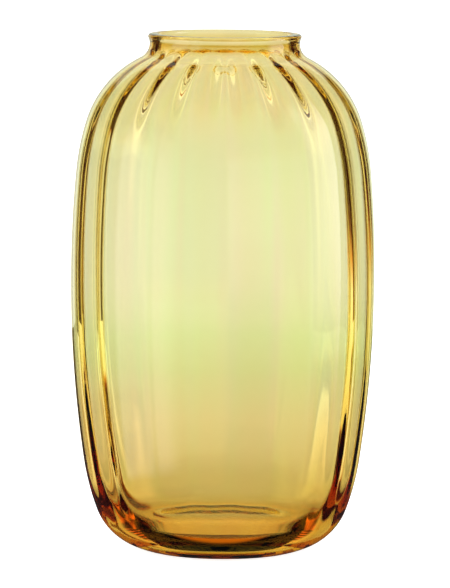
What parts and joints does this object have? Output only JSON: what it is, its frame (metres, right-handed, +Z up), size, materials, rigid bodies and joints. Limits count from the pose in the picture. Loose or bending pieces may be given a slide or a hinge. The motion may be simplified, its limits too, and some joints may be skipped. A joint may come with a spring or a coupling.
{
  "type": "glass vase",
  "caption": "Tall barrel-shaped vase of amber optic-ribbed glass with a round shoulder, a short waisted neck, a turned-out lip and a thick base.",
  "frame": {"origin": "centre of the ground foot ring, on the plane that the vase stands on", "axes": "+Z up along the vase's axis through the mouth; the front of the vase faces -Y, with +X to its right"},
  "size_m": [0.1498, 0.1498, 0.255],
  "materials": {
    "amber_glass": "polished"
  },
  "bodies": {
    "root": {"vase": "amber_glass"}
  },
  "joints": []
}
